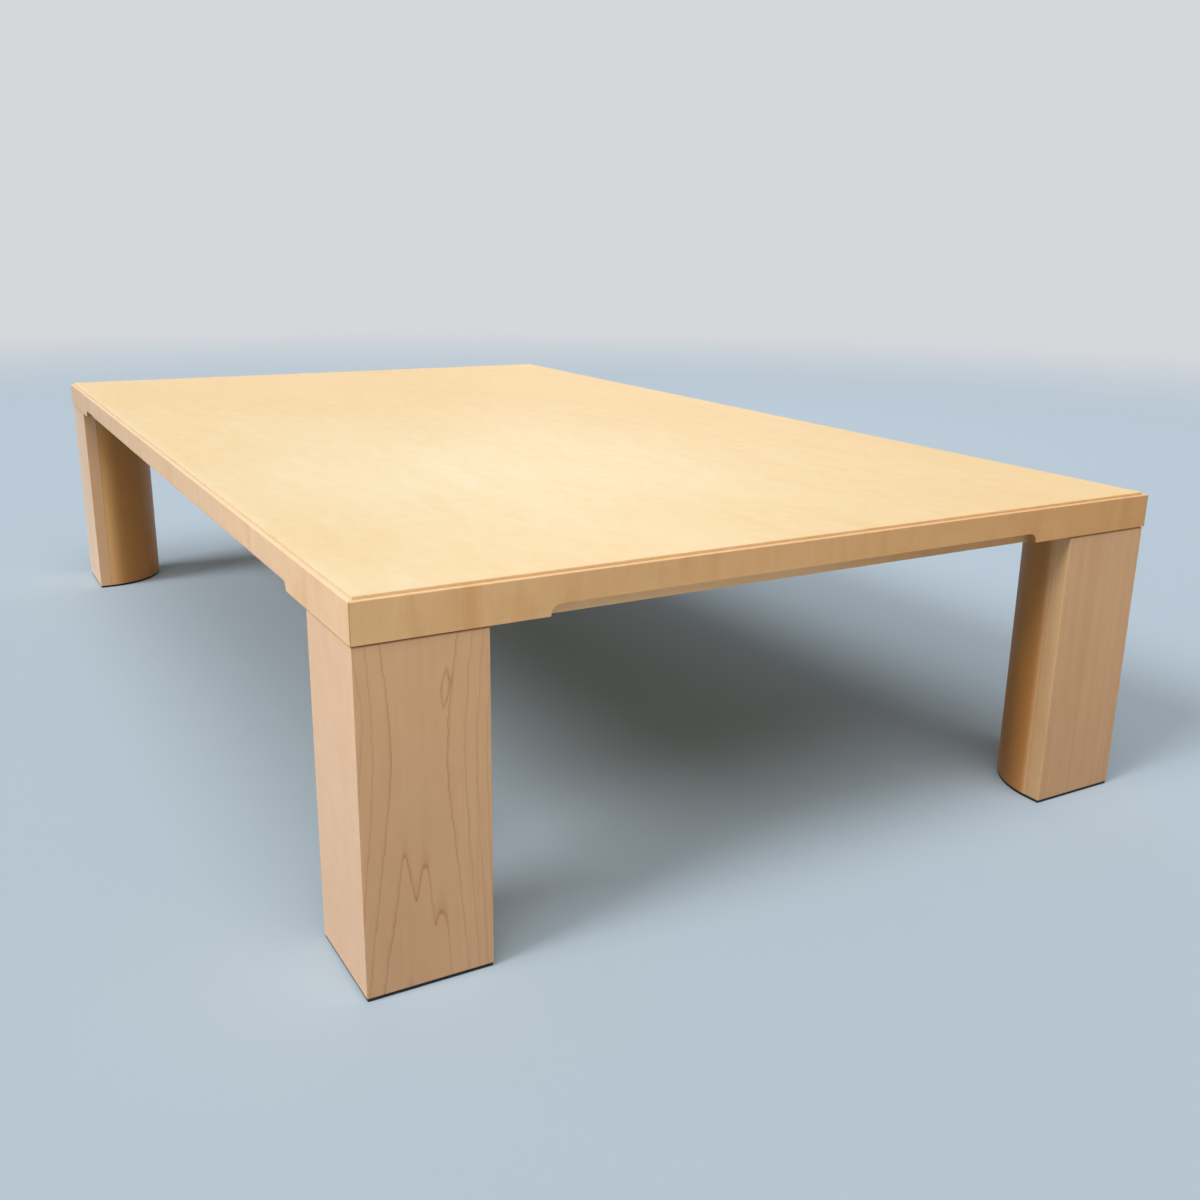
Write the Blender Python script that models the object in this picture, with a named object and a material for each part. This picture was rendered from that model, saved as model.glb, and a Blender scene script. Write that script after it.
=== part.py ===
"""A low floor table: a flush veneered top with mitred edge boards, on four quarter-round legs.

Metres, +Z up. The origin is on the floor under the middle of the table, and the length runs along X.
The front is the long side at -Y, the right is the short end at +X.
"""

import math

import bmesh
import bpy
from mathutils import Matrix, Vector

# Overall sizes
TABLE_LENGTH = 1.500
TABLE_WIDTH = 0.900
TABLE_HEIGHT = 0.345
SEAM = 0.0003  # gap between two pieces that touch

# Top panel and underside sheet
PANEL_THICKNESS = 0.0055
PANEL_STEP = 0.0026  # how far the panel stands above the rim ledge
PANEL_ARRIS = 0.0006
RIM_LEDGE = 0.0045  # width of edge board left showing round the panel
UNDERSIDE_THICKNESS = 0.004
UNDERSIDE_LIP = 0.010  # how far the underside sheet is let into an edge board

# Edge boards
EDGE_HEIGHT = 0.035
EDGE_THICKNESS = 0.024
EDGE_ARRIS = 0.0008
REBATE_HEIGHT = 0.0098
REBATE_DEPTH = 0.008
REBATE_START = 0.0537  # from a leg's side to the end of the stopped rebate

# Core frame of the flush top
BLOCK_PAST_LEG = 0.028  # how far a corner block reaches past the leg under it
RAIL_WIDTH = 0.040
BATTEN_WIDTH = 0.030
BATTEN_COUNT = 4

# Legs
LEG_SIZE = 0.114
LEG_INSET = 0.0013  # from the edge boards' faces to the legs' faces
LEG_BOARD = 0.018  # thickness of the two outer boards
LEG_BENT = 0.012  # thickness of the bent inner panel
LEG_ARRIS = 0.0009
LEG_CHAMFER = 0.0018  # at the legs' tops, for the shadow line under the edge boards
TOP_BLOCK = 0.040
FOOT_BLOCK = 0.020
PAD_THICKNESS = 0.003
PAD_INSET = 0.001

# Leg fixings
BOLT_DIAMETER = 0.010
BOLT_SHORT = 0.002  # how far the bolt stops below the top of its insert
BOLT_KEY = 0.008  # across the flats of the key socket
BOLT_KEY_SIDES = 6
BOLT_KEY_DEPTH = 0.005
BOLT_KEY_FLOOR = 0.001  # steel left above the key socket, without the flange
BOLT_HEAD_WALL = 0.0034
BOLT_FLANGE_LIP = 0.003
BOLT_FLANGE_THICKNESS = 0.0025
BOLT_CLEARANCE = 0.002  # round the flange, in the hole of the foot block that lets the bolt in
INSERT_WALL = 0.002
INSERT_COVER = 0.005  # wood left above an insert
FOOT_WALL = 0.009  # wood left between the foot block's hole and its round side
DOWEL_DIAMETER = 0.010
DOWEL_DEPTH = 0.018  # how far a dowel goes into the leg
DOWEL_COVER = 0.009  # wood left above a dowel
DOWEL_WALL = 0.008  # wood left between a dowel and the sides of the leg's top block
DOWEL_CHAMFER = 0.001

# Smoothness of round shapes
BENT_STEPS = 32
ROUND_STEPS = 24
REBATE_STEPS = 10
ARRIS_STEPS = 3
PANEL_ARRIS_STEPS = 2
SHARP_ANGLE = math.radians(28)
MERGE_DISTANCE = 0.00001

# Places that follow from the sizes
HALF_LENGTH = TABLE_LENGTH / 2
HALF_WIDTH = TABLE_WIDTH / 2
RIM_TOP = TABLE_HEIGHT - PANEL_STEP
UNDERSIDE = RIM_TOP - EDGE_HEIGHT
PANEL_BOTTOM = TABLE_HEIGHT - PANEL_THICKNESS
CORE_BOTTOM = UNDERSIDE + UNDERSIDE_THICKNESS + SEAM
CORE_TOP = PANEL_BOTTOM - SEAM
CORE_EDGE = EDGE_THICKNESS + SEAM  # from the table's edge to the core
LEG_BOTTOM = PAD_THICKNESS + SEAM
LEG_TOP = UNDERSIDE - SEAM
LEG_SHOULDER = LEG_TOP - LEG_CHAMFER
BLOCK_BOTTOM = LEG_TOP - TOP_BLOCK
BENT_CENTRE = LEG_BOARD + SEAM  # from a leg's outer faces to the middle of its round side
BENT_OUTER = LEG_SIZE - BENT_CENTRE
BENT_INNER = BENT_OUTER - LEG_BENT
BLOCK_RADIUS = BENT_INNER - SEAM
LEG_REACH = LEG_INSET + LEG_SIZE  # from the table's edge to a leg's inner side
LEG_CENTRE = LEG_INSET + BENT_CENTRE  # from the table's edges to the middle of a leg's round side
REBATE_STOP = LEG_REACH + REBATE_START
CORNER_BLOCK_REACH = LEG_REACH + BLOCK_PAST_LEG
KEY_CORNER = BOLT_KEY / 2 / math.cos(math.pi / BOLT_KEY_SIDES)
BOLT_HEAD = KEY_CORNER + BOLT_HEAD_WALL
BOLT_FLANGE = BOLT_HEAD + BOLT_FLANGE_LIP
BOLT_ACCESS = BOLT_FLANGE + BOLT_CLEARANCE
BOLT_HOLE = BOLT_DIAMETER / 2 + SEAM
BOLT_OUT = LEG_CENTRE + (BLOCK_RADIUS - BOLT_ACCESS - FOOT_WALL) / math.sqrt(2)
BOLT_PLACE = (BOLT_OUT, BOLT_OUT)
INSERT_RADIUS = BOLT_HOLE + INSERT_WALL
INSERT_TOP = CORE_TOP - INSERT_COVER
BOLT_TOP = INSERT_TOP - BOLT_SHORT
DOWEL_HOLE = DOWEL_DIAMETER / 2 + SEAM
DOWEL_SIDE = DOWEL_HOLE + DOWEL_WALL
DOWEL_NEAR = LEG_CENTRE + DOWEL_SIDE
DOWEL_FAR = LEG_CENTRE + math.sqrt((BLOCK_RADIUS - DOWEL_SIDE) ** 2 - DOWEL_SIDE ** 2)
DOWEL_PLACES = ((DOWEL_FAR, DOWEL_NEAR), (DOWEL_NEAR, DOWEL_FAR))
DOWEL_BOTTOM = LEG_TOP - DOWEL_DEPTH
DOWEL_TOP = CORE_TOP - DOWEL_COVER
MITRE_GAP = SEAM / math.sqrt(2)  # what half a seam across a mitre takes off each board's end
OVERCUT = 0.005  # how far a cutter runs past the face it cuts

# The four corners: name, side of the table in X and Y, and the turn that points X and Y inwards
CORNERS = (("front_left", -1, -1, 0), ("front_right", 1, -1, 90),
           ("back_right", 1, 1, 180), ("back_left", -1, 1, 270))


def clear_scene():
    """Remove every object that is already in the scene."""
    for old in list(bpy.data.objects):
        bpy.data.objects.remove(old, do_unlink=True)


def make_material(name, colour, roughness, metallic=0.0):
    """A plain finish."""
    material = bpy.data.materials.new(name)
    material.use_nodes = True
    shader = material.node_tree.nodes["Principled BSDF"]
    shader.inputs["Base Color"].default_value = (*colour, 1.0)
    shader.inputs["Roughness"].default_value = roughness
    shader.inputs["Metallic"].default_value = metallic
    return material


def add_empty(name, location, turn):
    """A frame that carries the pieces of one corner."""
    empty = bpy.data.objects.new(name, None)
    empty.location = location
    empty.rotation_euler = (0, 0, math.radians(turn))
    bpy.context.scene.collection.objects.link(empty)
    return empty


def add_piece(name, shape, material, parent=None):
    """Turn a bmesh into a named object, smooth on its round faces only."""
    bmesh.ops.recalc_face_normals(shape, faces=shape.faces)
    mesh = bpy.data.meshes.new(name)
    shape.to_mesh(mesh)
    shape.free()
    mesh.shade_smooth()
    mesh.set_sharp_from_angle(angle=SHARP_ANGLE)
    mesh.materials.append(material)
    piece = bpy.data.objects.new(name, mesh)
    piece.parent = parent
    bpy.context.scene.collection.objects.link(piece)
    return piece


def cut(piece, shape):
    """Cut a piece with a bmesh that is drawn in the piece's own frame."""
    bmesh.ops.recalc_face_normals(shape, faces=shape.faces)
    mesh = bpy.data.meshes.new(piece.name + "_cutter")
    shape.to_mesh(mesh)
    shape.free()
    cutter = bpy.data.objects.new(mesh.name, mesh)
    cutter.parent = piece
    cutter.hide_render = True
    cutter.display_type = "WIRE"
    bpy.context.scene.collection.objects.link(cutter)
    modifier = piece.modifiers.new("cut", "BOOLEAN")
    modifier.operation = "DIFFERENCE"
    modifier.solver = "EXACT"
    modifier.object = cutter


def arc(centre, radius, start, end, steps):
    """Points along an arc, angles in radians."""
    points = []
    for step in range(steps + 1):
        angle = start + (end - start) * step / steps
        points.append((centre[0] + radius * math.cos(angle), centre[1] + radius * math.sin(angle)))
    return points


def extrude(shape, corners, way):
    """Fill a closed outline of 3-D points and pull it along a vector into a solid."""
    face = shape.faces.new([shape.verts.new(corner) for corner in corners])
    grown = bmesh.ops.extrude_face_region(shape, geom=[face])["geom"]
    far_end = [item for item in grown if isinstance(item, bmesh.types.BMVert)]
    bmesh.ops.translate(shape, verts=far_end, vec=way)


def upright(outline, low, high):
    """A solid of one plan outline between two heights."""
    shape = bmesh.new()
    extrude(shape, [(x, y, low) for x, y in outline], (0, 0, high - low))
    return shape


def plate(low, high):
    """A flat rectangular piece between two corners."""
    outline = [(low[0], low[1]), (high[0], low[1]), (high[0], high[1]), (low[0], high[1])]
    return upright(outline, low[2], high[2])


def add_round(shape, place, radius, low, high):
    """Add an upright cylinder to a bmesh."""
    middle = Matrix.Translation((place[0], place[1], (low + high) / 2))
    bmesh.ops.create_cone(shape, cap_ends=True, cap_tris=False, segments=ROUND_STEPS, radius1=radius,
                          radius2=radius, depth=high - low, matrix=middle)


def turn_profile(profile, place):
    """Spin a line of radius and height points about an upright axis."""
    shape = bmesh.new()
    axis = Vector((place[0], place[1], 0))
    line = [shape.verts.new((place[0] + radius, place[1], height)) for radius, height in profile]
    edges = [shape.edges.new(pair) for pair in zip(line, line[1:])]
    bmesh.ops.spin(shape, geom=line + edges, cent=axis, axis=(0, 0, 1), angle=math.tau, steps=ROUND_STEPS,
                   use_merge=True)
    bmesh.ops.remove_doubles(shape, verts=shape.verts, dist=MERGE_DISTANCE)
    return shape


def make_panel(material):
    """The veneered sheet, set in from the edge boards' faces by the rim ledge."""
    reach = Vector((HALF_LENGTH, HALF_WIDTH)) - Vector((1, 1)) * (RIM_LEDGE + SEAM)
    shape = plate((-reach.x, -reach.y, PANEL_BOTTOM), (reach.x, reach.y, TABLE_HEIGHT))
    middle = (PANEL_BOTTOM + TABLE_HEIGHT) / 2
    upper = [edge for edge in shape.edges if all(vert.co.z > middle for vert in edge.verts)]
    bmesh.ops.bevel(shape, geom=upper, offset=PANEL_ARRIS, offset_type="OFFSET", affect="EDGES",
                    segments=PANEL_ARRIS_STEPS, profile=0.5, material=-1)
    add_piece("top_panel", shape, material)


def make_underside(material):
    """The sheet that closes the top from below, drilled for the leg fixings."""
    let_in = EDGE_THICKNESS - UNDERSIDE_LIP + SEAM
    reach = Vector((HALF_LENGTH - let_in, HALF_WIDTH - let_in))
    top = UNDERSIDE + UNDERSIDE_THICKNESS
    shape = plate((-reach.x, -reach.y, UNDERSIDE), (reach.x, reach.y, top))
    sheet = add_piece("underside_sheet", shape, material)
    holes = bmesh.new()
    for _, side_x, side_y, _ in CORNERS:
        for place in (BOLT_PLACE, *DOWEL_PLACES):
            radius = BOLT_HOLE if place == BOLT_PLACE else DOWEL_HOLE
            spot = (side_x * (HALF_LENGTH - place[0]), side_y * (HALF_WIDTH - place[1]))
            add_round(holes, spot, radius, UNDERSIDE - OVERCUT, top + OVERCUT)
    cut(sheet, holes)


def edge_profile():
    """Section of an edge board: Y runs inwards from its face, Z up from its bottom."""
    seat = EDGE_HEIGHT - (PANEL_THICKNESS - PANEL_STEP) - SEAM
    lip_inside = EDGE_THICKNESS - UNDERSIDE_LIP
    lip_top = UNDERSIDE_THICKNESS + SEAM
    round_in = EDGE_ARRIS
    bottom = arc((round_in, round_in), round_in, math.pi, 1.5 * math.pi, ARRIS_STEPS)
    top = arc((round_in, EDGE_HEIGHT - round_in), round_in, 0.5 * math.pi, math.pi, ARRIS_STEPS)
    return [*bottom, (lip_inside, 0), (lip_inside, lip_top), (EDGE_THICKNESS, lip_top),
            (EDGE_THICKNESS, seat), (RIM_LEDGE, seat), (RIM_LEDGE, EDGE_HEIGHT), *top]


def soften_corner(shape, length, end):
    """Plane off the sharp upright corner at one end of a mitred edge board."""
    outwards = Vector((end, -1, 0)).normalized()
    corner = Vector((end * length / 2, 0, 0))
    everything = [*shape.verts, *shape.edges, *shape.faces]
    planed = corner - outwards * EDGE_ARRIS
    bmesh.ops.bisect_plane(shape, geom=everything, plane_co=planed, plane_no=outwards, clear_outer=True)
    bmesh.ops.holes_fill(shape, edges=[edge for edge in shape.edges if edge.is_boundary])


def rebate_cutter(length):
    """The stopped rebate: a long slot in the board's face whose ends are quarter rounds."""
    half = length / 2 - REBATE_STOP
    right = arc((half - REBATE_HEIGHT, 0), REBATE_HEIGHT, 0, 0.5 * math.pi, REBATE_STEPS)
    left = arc((REBATE_HEIGHT - half, 0), REBATE_HEIGHT, 0.5 * math.pi, math.pi, REBATE_STEPS)
    outline = [(half, -OVERCUT), *right, *left, (-half, -OVERCUT)]
    shape = bmesh.new()
    extrude(shape, [(x, -OVERCUT, z) for x, z in outline], (0, OVERCUT + REBATE_DEPTH, 0))
    return shape


def make_edge_board(name, length, location, turn, material):
    """An edge board, drawn along X with its face at Y = 0, then turned to its side of the table."""
    shape = bmesh.new()
    extrude(shape, [(-length / 2, y, z) for y, z in edge_profile()], (length, 0, 0))
    for vert in shape.verts:
        vert.co.x = math.copysign(length / 2 - vert.co.y - MITRE_GAP, vert.co.x)
    for end in (-1, 1):
        soften_corner(shape, length, end)
    board = add_piece(name, shape, material)
    board.location = location
    board.rotation_euler = (0, 0, math.radians(turn))
    cut(board, rebate_cutter(length))


def make_edge_boards(material):
    """The four edge boards."""
    make_edge_board("edge_board_front", TABLE_LENGTH, (0, -HALF_WIDTH, UNDERSIDE), 0, material)
    make_edge_board("edge_board_right", TABLE_WIDTH, (HALF_LENGTH, 0, UNDERSIDE), 90, material)
    make_edge_board("edge_board_back", TABLE_LENGTH, (0, HALF_WIDTH, UNDERSIDE), 180, material)
    make_edge_board("edge_board_left", TABLE_WIDTH, (-HALF_LENGTH, 0, UNDERSIDE), 270, material)


def make_core(material):
    """Rails along the four sides, between the corner blocks, and battens across."""
    rail_end = CORNER_BLOCK_REACH + SEAM
    for name, side in (("front", -1), ("back", 1)):
        outer = side * (HALF_WIDTH - CORE_EDGE)
        inner = outer - side * RAIL_WIDTH
        low = (rail_end - HALF_LENGTH, min(outer, inner), CORE_BOTTOM)
        high = (HALF_LENGTH - rail_end, max(outer, inner), CORE_TOP)
        add_piece("core_rail_" + name, plate(low, high), material)
    for name, side in (("left", -1), ("right", 1)):
        outer = side * (HALF_LENGTH - CORE_EDGE)
        inner = outer - side * RAIL_WIDTH
        low = (min(outer, inner), rail_end - HALF_WIDTH, CORE_BOTTOM)
        high = (max(outer, inner), HALF_WIDTH - rail_end, CORE_TOP)
        add_piece("core_rail_" + name, plate(low, high), material)
    reach = HALF_WIDTH - CORE_EDGE - RAIL_WIDTH - SEAM
    span = TABLE_LENGTH - 2 * rail_end
    for index in range(BATTEN_COUNT):
        middle = span * ((index + 0.5) / BATTEN_COUNT - 0.5)
        low = (middle - BATTEN_WIDTH / 2, -reach, CORE_BOTTOM)
        high = (middle + BATTEN_WIDTH / 2, reach, CORE_TOP)
        add_piece(f"core_batten_{index + 1}", plate(low, high), material)


def make_corner_block(name, corner, material):
    """A block over a leg, bored for the threaded insert and the dowels."""
    shape = plate((CORE_EDGE, CORE_EDGE, CORE_BOTTOM), (CORNER_BLOCK_REACH, CORNER_BLOCK_REACH, CORE_TOP))
    block = add_piece("corner_block_" + name, shape, material, corner)
    bores = bmesh.new()
    add_round(bores, BOLT_PLACE, INSERT_RADIUS + SEAM, CORE_BOTTOM - OVERCUT, INSERT_TOP + SEAM)
    for place in DOWEL_PLACES:
        add_round(bores, place, DOWEL_HOLE, CORE_BOTTOM - OVERCUT, DOWEL_TOP + SEAM)
    cut(block, bores)


def board_outline():
    """Plan of a leg's outer board along X: mitred at the outer corner, its bare edge at the far end."""
    trim = math.asin(SEAM / (2 * LEG_ARRIS))
    mitre = arc((LEG_ARRIS, LEG_ARRIS), LEG_ARRIS, 1.25 * math.pi + trim, 1.5 * math.pi, ARRIS_STEPS)
    far = arc((LEG_SIZE - LEG_ARRIS, LEG_ARRIS), LEG_ARRIS, 1.5 * math.pi, 2 * math.pi, ARRIS_STEPS)
    return [*mitre, *far, (LEG_SIZE, LEG_BOARD), (LEG_BOARD + MITRE_GAP, LEG_BOARD)]


def round_outline(radius):
    """Quarter round about the middle of a leg's round side."""
    return arc((BENT_CENTRE, BENT_CENTRE), radius, 0, 0.5 * math.pi, BENT_STEPS)


def inside_chamfer(point):
    """Where a point of the outer board's plan lies at the top of the chamfer."""
    x, y = point
    return (min(max(x, LEG_CHAMFER + MITRE_GAP), LEG_SIZE - LEG_CHAMFER), max(y, LEG_CHAMFER))


def on_leg(outline):
    """Move an outline from a leg's own corner to the table's corner."""
    return [(x + LEG_INSET, y + LEG_INSET) for x, y in outline]


def chamfered(outline, top_outline):
    """An upright piece of a leg, drawn in at its top to a second outline of as many points."""
    shape = bmesh.new()
    foot, shoulder, top = (
        [shape.verts.new((x, y, height)) for x, y in on_leg(plan)]
        for plan, height in ((outline, LEG_BOTTOM), (outline, LEG_SHOULDER), (top_outline, LEG_TOP)))
    shape.faces.new(foot)
    shape.faces.new(top)
    for lower, upper in ((foot, shoulder), (shoulder, top)):
        for index in range(len(lower)):
            shape.faces.new((lower[index - 1], lower[index], upper[index], upper[index - 1]))
    bmesh.ops.remove_doubles(shape, verts=shape.verts, dist=MERGE_DISTANCE)
    return shape


def make_leg_sides(name, turn, corner, wood, bent_wood):
    """Two mitred outer boards and a bent panel round a hollow."""
    plan = board_outline()
    top_plan = [inside_chamfer(point) for point in plan]
    turned_plan = [(y, x) for x, y in plan]
    turned_top_plan = [(y, x) for x, y in top_plan]
    along_x = chamfered(plan, top_plan)
    along_y = chamfered(turned_plan, turned_top_plan)
    x_is_long_side = turn % 180 == 0
    for shape, on_long_side in ((along_x, x_is_long_side), (along_y, not x_is_long_side)):
        place = "long_side" if on_long_side else "end"
        add_piece(f"leg_{name}_{place}_board", shape, wood, corner)
    inner_arc = list(reversed(round_outline(BENT_INNER)))
    bent = [*round_outline(BENT_OUTER), *inner_arc]
    bent_top = [*round_outline(BENT_OUTER - LEG_CHAMFER), *inner_arc]
    add_piece(f"leg_{name}_bent_panel", chamfered(bent, bent_top), bent_wood, corner)


def make_leg_blocks(name, corner, material):
    """The blocks that close a leg's hollow: one for the fixings at the top, one for the pad at the foot."""
    quarter = on_leg([(BENT_CENTRE, BENT_CENTRE), *round_outline(BLOCK_RADIUS)])
    shape = upright(quarter, BLOCK_BOTTOM, LEG_TOP)
    top_block = add_piece(f"leg_{name}_top_block", shape, material, corner)
    bores = bmesh.new()
    add_round(bores, BOLT_PLACE, BOLT_HOLE, BLOCK_BOTTOM - OVERCUT, LEG_TOP + OVERCUT)
    for place in DOWEL_PLACES:
        add_round(bores, place, DOWEL_HOLE, DOWEL_BOTTOM - SEAM, LEG_TOP + OVERCUT)
    cut(top_block, bores)
    foot_top = LEG_BOTTOM + FOOT_BLOCK
    shape = upright(quarter, LEG_BOTTOM, foot_top)
    foot_block = add_piece(f"leg_{name}_foot_block", shape, material, corner)
    access = bmesh.new()
    add_round(access, BOLT_PLACE, BOLT_ACCESS, LEG_BOTTOM - OVERCUT, foot_top + OVERCUT)
    cut(foot_block, access)


def make_pad(name, corner, material):
    """The black pad, a little smaller all round than the leg."""
    far = LEG_SIZE - PAD_INSET
    inner_side = round_outline(BENT_OUTER - PAD_INSET)
    outline = [(PAD_INSET, PAD_INSET), (far, PAD_INSET), *inner_side, (PAD_INSET, far)]
    add_piece("foot_pad_" + name, upright(on_leg(outline), 0, PAD_THICKNESS), material, corner)


def make_fixings(name, corner, steel, zinc, wood):
    """The bolt from inside the leg, its threaded insert and the two dowels."""
    seat = BLOCK_BOTTOM - SEAM
    head_top = seat - BOLT_FLANGE_THICKNESS
    head_bottom = head_top - BOLT_KEY_DEPTH - BOLT_KEY_FLOOR
    shank = BOLT_DIAMETER / 2
    profile = [(0, BOLT_TOP), (shank, BOLT_TOP), (shank, seat), (BOLT_FLANGE, seat), (BOLT_FLANGE, head_top),
               (BOLT_HEAD, head_top), (BOLT_HEAD, head_bottom), (0, head_bottom)]
    bolt = add_piece("leg_bolt_" + name, turn_profile(profile, BOLT_PLACE), steel, corner)
    socket = bmesh.new()
    key = arc(BOLT_PLACE, KEY_CORNER, 0, math.tau, BOLT_KEY_SIDES)[:-1]
    extrude(socket, [(x, y, head_bottom - OVERCUT) for x, y in key], (0, 0, OVERCUT + BOLT_KEY_DEPTH))
    cut(bolt, socket)
    ring = [(BOLT_HOLE, INSERT_TOP), (INSERT_RADIUS, INSERT_TOP), (INSERT_RADIUS, CORE_BOTTOM),
            (BOLT_HOLE, CORE_BOTTOM), (BOLT_HOLE, INSERT_TOP)]
    add_piece("threaded_insert_" + name, turn_profile(ring, BOLT_PLACE), zinc, corner)
    for index, place in enumerate(DOWEL_PLACES):
        shape = bmesh.new()
        add_round(shape, place, DOWEL_DIAMETER / 2, DOWEL_BOTTOM, DOWEL_TOP)
        rims = [edge for face in shape.faces if abs(face.normal.z) > 0.5 for edge in face.edges]
        bmesh.ops.bevel(shape, geom=rims, offset=DOWEL_CHAMFER, offset_type="OFFSET", affect="EDGES",
                        segments=1, profile=0.5, material=-1)
        add_piece(f"dowel_{name}_{index + 1}", shape, wood, corner)


def main():
    """Build the whole table."""
    clear_scene()
    veneer = make_material("maple_veneer", (0.83, 0.61, 0.34), 0.38)
    edge_wood = make_material("maple_edge", (0.62, 0.40, 0.20), 0.42)
    leg_wood = make_material("maple_leg", (0.60, 0.39, 0.22), 0.45)
    bent_wood = make_material("bent_maple", (0.42, 0.25, 0.11), 0.45)
    plywood = make_material("plywood", (0.60, 0.43, 0.26), 0.65)
    core_wood = make_material("core_softwood", (0.66, 0.48, 0.28), 0.75)
    dowel_wood = make_material("beech_dowel", (0.62, 0.42, 0.25), 0.6)
    pad_rubber = make_material("black_pad", (0.012, 0.011, 0.010), 0.9)
    steel = make_material("plated_steel", (0.55, 0.55, 0.56), 0.35, 1.0)
    zinc = make_material("zinc_insert", (0.50, 0.50, 0.48), 0.4, 1.0)
    make_panel(veneer)
    make_edge_boards(edge_wood)
    make_underside(plywood)
    make_core(core_wood)
    for name, side_x, side_y, turn in CORNERS:
        corner = add_empty("corner_" + name, (side_x * HALF_LENGTH, side_y * HALF_WIDTH, 0), turn)
        make_corner_block(name, corner, core_wood)
        make_leg_sides(name, turn, corner, leg_wood, bent_wood)
        make_leg_blocks(name, corner, core_wood)
        make_pad(name, corner, pad_rubber)
        make_fixings(name, corner, steel, zinc, dowel_wood)


main()
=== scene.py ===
"""Low floor table: the finish of every piece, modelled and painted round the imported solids.

Metres, +Z up, in the frame of the solids: the length runs along X, the front is the long side at -Y and
the right is the short end at +X. Lengths inside the wood finishes are in millimetres.
"""

import math
from functools import partial

import bmesh
import bpy
from bpy.props import FloatProperty, FloatVectorProperty, IntProperty, PointerProperty
from mathutils import Matrix, Vector


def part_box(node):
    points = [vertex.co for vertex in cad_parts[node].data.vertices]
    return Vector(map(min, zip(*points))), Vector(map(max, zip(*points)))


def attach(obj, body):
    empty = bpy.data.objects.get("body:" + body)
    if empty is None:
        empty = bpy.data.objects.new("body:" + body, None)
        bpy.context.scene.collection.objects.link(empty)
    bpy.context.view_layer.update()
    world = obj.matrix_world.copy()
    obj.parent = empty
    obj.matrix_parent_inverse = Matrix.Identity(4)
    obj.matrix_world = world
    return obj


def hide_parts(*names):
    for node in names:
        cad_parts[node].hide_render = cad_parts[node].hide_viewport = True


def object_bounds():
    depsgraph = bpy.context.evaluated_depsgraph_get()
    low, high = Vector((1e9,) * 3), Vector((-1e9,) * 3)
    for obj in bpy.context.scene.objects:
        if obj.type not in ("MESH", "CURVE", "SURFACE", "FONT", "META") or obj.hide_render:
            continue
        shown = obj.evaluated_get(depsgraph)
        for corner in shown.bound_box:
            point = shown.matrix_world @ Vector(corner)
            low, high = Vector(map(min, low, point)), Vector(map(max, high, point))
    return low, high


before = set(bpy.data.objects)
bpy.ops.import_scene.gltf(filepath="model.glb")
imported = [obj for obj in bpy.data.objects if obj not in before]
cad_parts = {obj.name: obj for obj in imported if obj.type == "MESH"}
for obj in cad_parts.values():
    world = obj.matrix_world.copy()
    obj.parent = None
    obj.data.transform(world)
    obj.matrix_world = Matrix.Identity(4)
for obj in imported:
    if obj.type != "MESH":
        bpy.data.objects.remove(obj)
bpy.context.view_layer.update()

bl_info = {
    "name": "Low Floor Table",
    "version": (1, 0, 0),
    "blender": (4, 5, 0),
    "location": "View3D > Sidebar > Floor Table",
    "description": "Dresses the pieces of a low maple floor table and sets its stage",
    "category": "Object",
}

BODY = "root"
MERGE_DISTANCE = 0.00001
SHARP_ANGLE = math.radians(40)
PAD_ARRIS_STEPS = 2
MILLIMETRES = 1000.0

# The four corners: name, and the turn that points X and Y inwards from the table's corner
CORNERS = {"front_left": 0, "front_right": 90, "back_right": 180, "back_left": 270}

# The four sides: name, and the turn that brings the front's board there
SIDES = {"front": 0, "right": 90, "back": 180, "left": 270}

# Places read from the solids
TABLE_LOW, TABLE_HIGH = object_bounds()
PANEL_LOW, PANEL_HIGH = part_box("top_panel")
EDGE_LOW, EDGE_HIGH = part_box("edge_board_front")
SHEET_LOW, SHEET_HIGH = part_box("underside_sheet")
LEG_LOW, LEG_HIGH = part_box("leg_front_left_long_side_board")
BENT_LOW, BENT_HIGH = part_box("leg_front_left_bent_panel")
PAD_LOW, PAD_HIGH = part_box("foot_pad_front_left")
TABLE_MIDDLE = Vector((TABLE_LOW.x + TABLE_HIGH.x, TABLE_LOW.y + TABLE_HIGH.y, 0)) / 2
LENGTH = TABLE_HIGH.x - TABLE_LOW.x
WIDTH = TABLE_HIGH.y - TABLE_LOW.y
LEG_INSET = LEG_LOW.y - TABLE_LOW.y
LEG_SIZE = LEG_HIGH.x - TABLE_LOW.x - LEG_INSET
LEG_BOARD = LEG_HIGH.y - LEG_LOW.y
BENT_CENTRE = BENT_LOW.x - TABLE_LOW.x - LEG_INSET
PAD_INSET = PAD_LOW.x - TABLE_LOW.x - LEG_INSET
SEAM = BENT_CENTRE - LEG_BOARD
MITRE_GAP = SEAM / math.sqrt(2)

# Shifts of the grain from one board to the next, so that no two are alike
EDGE_SHIFT = Vector((0.31, 0.17, 0.0))
LEG_SHIFT = Vector((0.13, 0.29, 0.0))
BENT_SHIFT = Vector((0.41, 0.23, 0.0))

# Heights between which the painted shade of the legs changes, in millimetres
FADE_FOOT = 0
FADE_BENT_FOOT = 80
FADE_TOP = 300

# Cells of the noises in the maple: millimetres along, across and into the wood
FIBRE = (45, 0.9, 0.9)
FLECK = (3.2, 0.55, 0.55)
BLOTCH = (38, 16, 16)
SLOW_TONE = (260, 60, 60)

# Dips of the split flame on the front right leg: millimetres across the board, reach and fall
FLAME_DIPS = ((45.8, 5.0, 330.0), (60.6, 3.3, 360.0), (53.5, 4.0, 60.0), (65.5, 3.5, 130.0))

# Facets of the floor's rim, and the shares of its radius between which it fades out
FLOOR_SEGMENTS = 128
FLOOR_FADE = (0.45, 0.98)

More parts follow.
